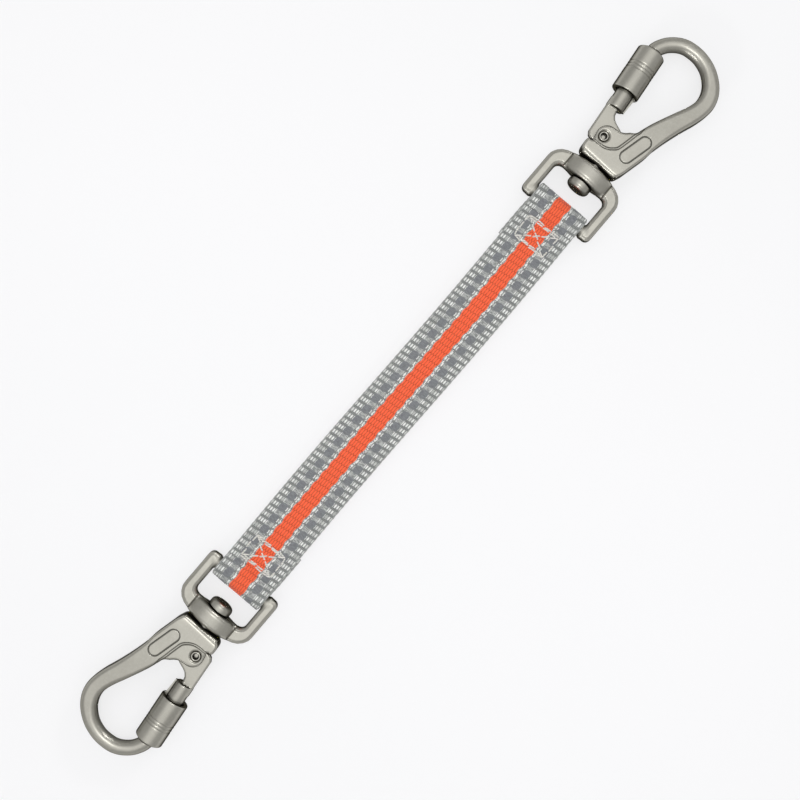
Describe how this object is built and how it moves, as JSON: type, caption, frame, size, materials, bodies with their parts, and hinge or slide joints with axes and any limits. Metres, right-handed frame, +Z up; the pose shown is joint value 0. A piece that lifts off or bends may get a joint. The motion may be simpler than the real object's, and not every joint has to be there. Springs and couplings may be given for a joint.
{
  "type": "webbing coupler strap with swivel snap hooks",
  "caption": "Short flat webbing strap with a swivelling, sleeve-locked spring snap hook sewn on at each end.",
  "frame": {"origin": "middle of the strap's length and width, on the plane that the part lies on", "axes": "+X along the strap towards the right hook's bow, +Y across the strap towards the right hook's gate, +Z up from the plane that the part lies on"},
  "size_m": [0.2988, 0.0344, 0.0097],
  "materials": {
    "webbing": "woven, orange with grey and white reflective border stripes",
    "sewing_thread": "bonded sewing thread",
    "cast_metal": "satin nickel plate on a die casting",
    "turned_metal": "satin nickel plate, turned",
    "spring_wire": "drawn spring wire"
  },
  "bodies": {
    "strap": {"webbing_strap": "webbing", "right_front_tack_stitching": "sewing_thread", "right_back_tack_stitching": "sewing_thread", "left_front_tack_stitching": "sewing_thread", "left_back_tack_stitching": "sewing_thread"},
    "right_eye": {"right_swivel_eye": "cast_metal"},
    "right_hook": {"right_swivel_pin": "turned_metal", "right_hook_body": "cast_metal", "right_gate_rivet": "turned_metal", "right_gate_spring": "spring_wire"},
    "right_gate": {"right_gate": "cast_metal", "right_gate_core": "turned_metal"},
    "right_sleeve": {"right_locking_sleeve": "turned_metal", "right_sleeve_spring": "spring_wire"},
    "left_eye": {"left_swivel_eye": "cast_metal"},
    "left_hook": {"left_swivel_pin": "turned_metal", "left_hook_body": "cast_metal", "left_gate_rivet": "turned_metal", "left_gate_spring": "spring_wire"},
    "left_gate": {"left_gate": "cast_metal", "left_gate_core": "turned_metal"},
    "left_sleeve": {"left_locking_sleeve": "turned_metal", "left_sleeve_spring": "spring_wire"}
  },
  "joints": [
    {"name": "right_eye_swing", "type": "hinge", "parent": "strap", "child": "right_eye", "pos_m": [0.0791, 0, 0.00485], "axis": [0, -1, 0], "range_deg": [-120, 120]},
    {"name": "right_hook_swivel", "type": "hinge", "parent": "right_eye", "child": "right_hook", "pos_m": [0.0979, 0, 0.00485], "axis": [1, 0, 0], "continuous": true},
    {"name": "right_gate_swing", "type": "hinge", "parent": "right_hook", "child": "right_gate", "pos_m": [0.1065, 0.0042, 0.00485], "axis": [0, 0, -1], "range_deg": [0, 26], "stiffness_Nm_per_rad": 0.03, "springref_deg": -28.65, "deforming": ["right_gate_spring"]},
    {"name": "right_sleeve_slide", "type": "slide", "parent": "right_gate", "child": "right_sleeve", "axis": [-0.9936, -0.1132, 0], "range_m": [0, 0.0043], "stiffness_N_per_m": 400, "springref_m": -0.005, "deforming": ["right_sleeve_spring"]},
    {"name": "left_eye_swing", "type": "hinge", "parent": "strap", "child": "left_eye", "pos_m": [-0.0791, 0, 0.00485], "axis": [0, 1, 0], "range_deg": [-120, 120]},
    {"name": "left_hook_swivel", "type": "hinge", "parent": "left_eye", "child": "left_hook", "pos_m": [-0.0979, 0, 0.00485], "axis": [-1, 0, 0], "continuous": true},
    {"name": "left_gate_swing", "type": "hinge", "parent": "left_hook", "child": "left_gate", "pos_m": [-0.1065, -0.0042, 0.00485], "axis": [0, 0, -1], "range_deg": [0, 26], "stiffness_Nm_per_rad": 0.03, "springref_deg": -28.65, "deforming": ["left_gate_spring"]},
    {"name": "left_sleeve_slide", "type": "slide", "parent": "left_gate", "child": "left_sleeve", "axis": [0.9936, 0.1132, 0], "range_m": [0, 0.0043], "stiffness_N_per_m": 400, "springref_m": -0.005, "deforming": ["left_sleeve_spring"]}
  ]
}
